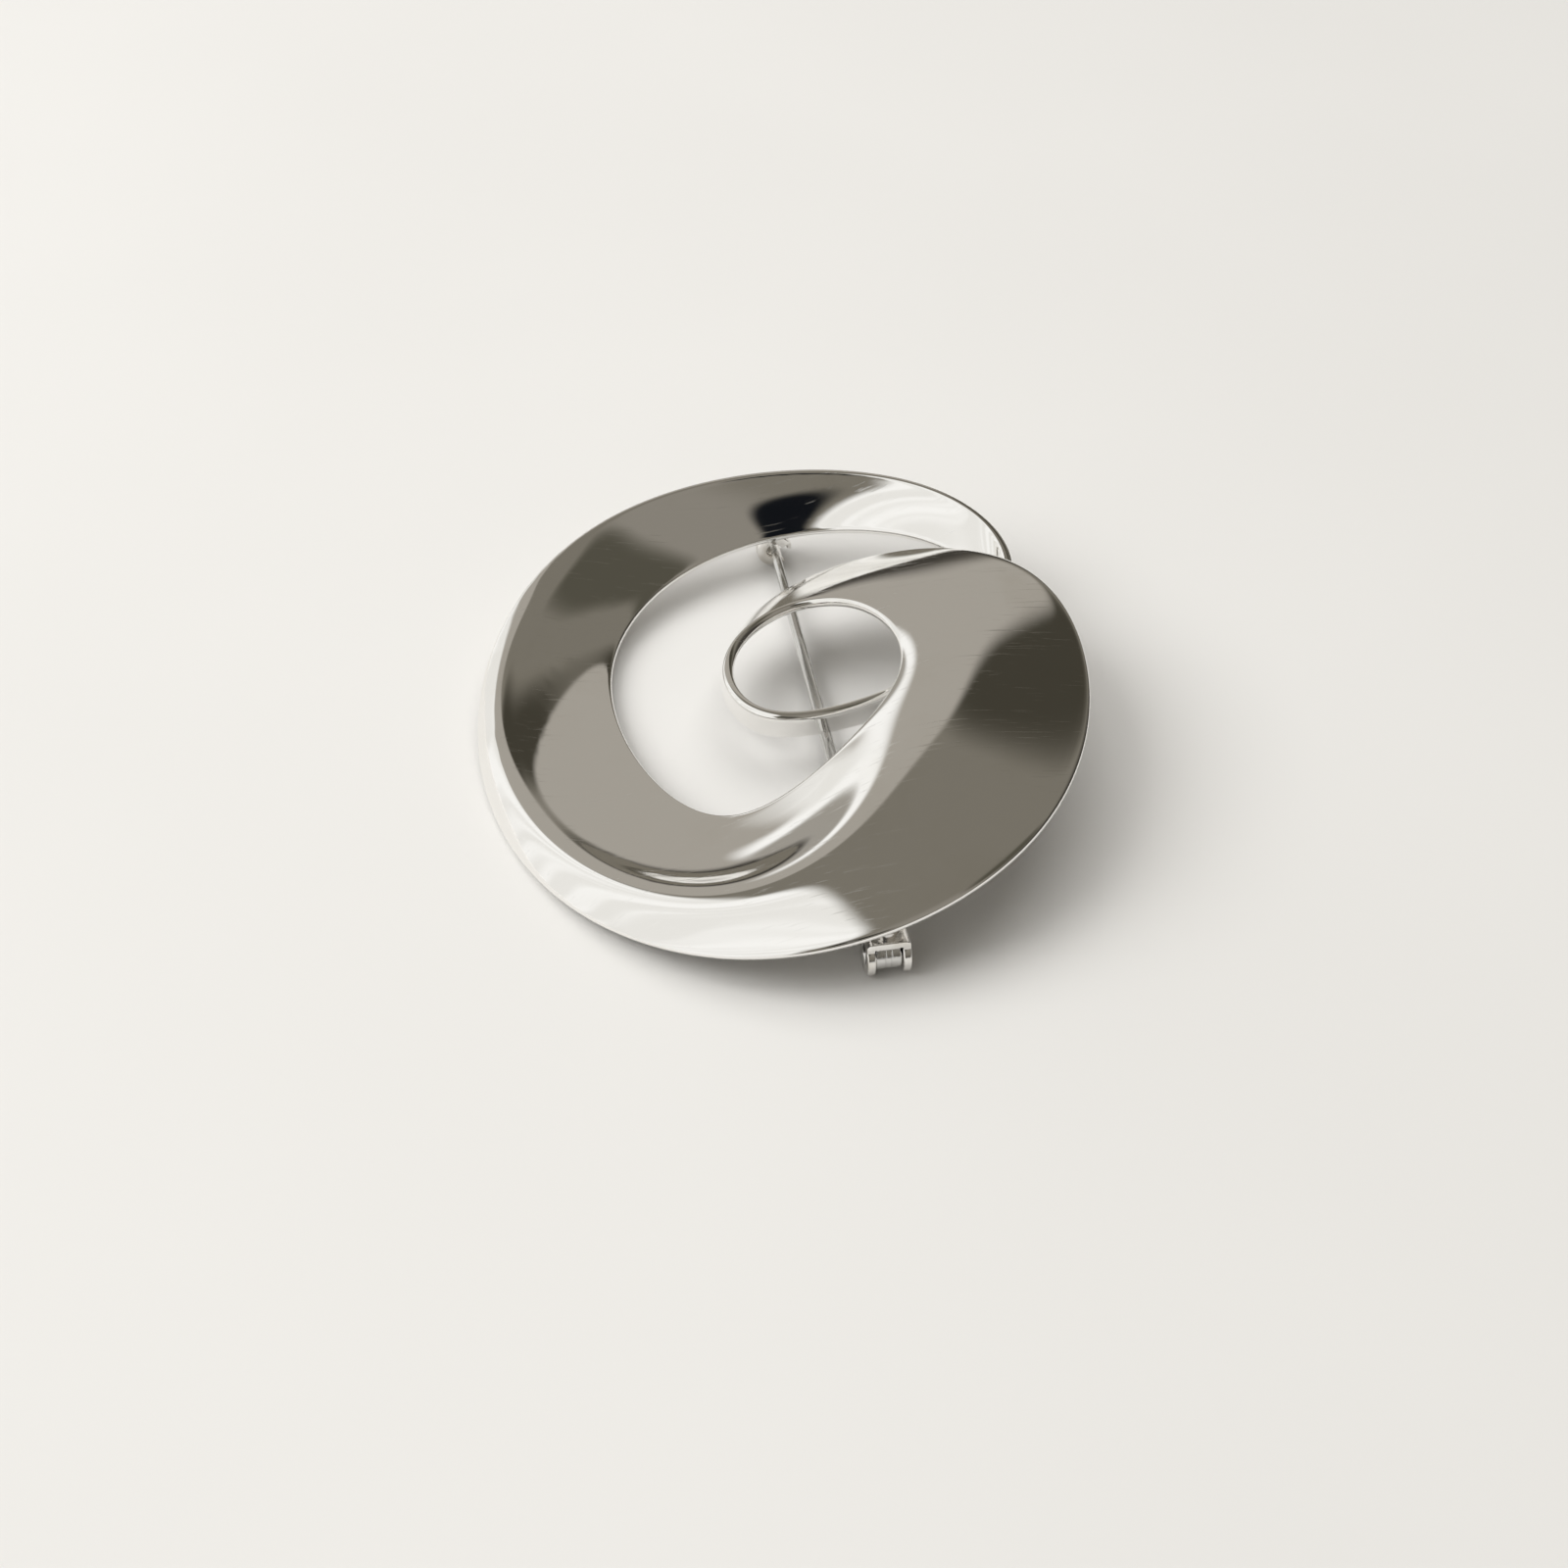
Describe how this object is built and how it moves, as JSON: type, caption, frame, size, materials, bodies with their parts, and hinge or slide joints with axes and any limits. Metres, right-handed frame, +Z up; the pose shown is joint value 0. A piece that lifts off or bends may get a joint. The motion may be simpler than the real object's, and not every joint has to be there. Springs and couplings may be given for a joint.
{
  "type": "brooch",
  "caption": "Polished metal swirl brooch: one folded ribbon with a half twist that runs round a ring and an inner loop, with a hinged pin and a turning safety catch on its back.",
  "frame": {"origin": "middle of the footprint, on the ground the brooch lies on", "axes": "+Z up out of the brooch's face, +Y along the pin from its hinge to its catch"},
  "size_m": [0.0541, 0.0597, 0.0119],
  "materials": {
    "silver": "mirror polish with fine wear scratches",
    "steel": "drawn wire, bright"
  },
  "bodies": {
    "brooch": {"band": "silver", "hinge_pad": "silver", "hinge_post": "silver", "hinge_bracket": "silver", "hinge_rivet": "steel", "catch_pad": "silver", "catch_post": "silver", "catch_housing": "silver"},
    "pin": {"pin_knuckle": "steel", "pin_stem": "steel"},
    "safety": {"safety_roller": "silver", "thumb_tab": "silver"}
  },
  "joints": [
    {"name": "pin_swing", "type": "hinge", "parent": "brooch", "child": "pin", "pos_m": [0.004, -0.0275, 0.0018], "axis": [-1, 0, 0], "range_deg": [0, 60]},
    {"name": "roller_turn", "type": "hinge", "parent": "brooch", "child": "safety", "pos_m": [0.004, 0.0283, 0.0018], "axis": [0, -1, 0], "range_deg": [0, 110]}
  ]
}
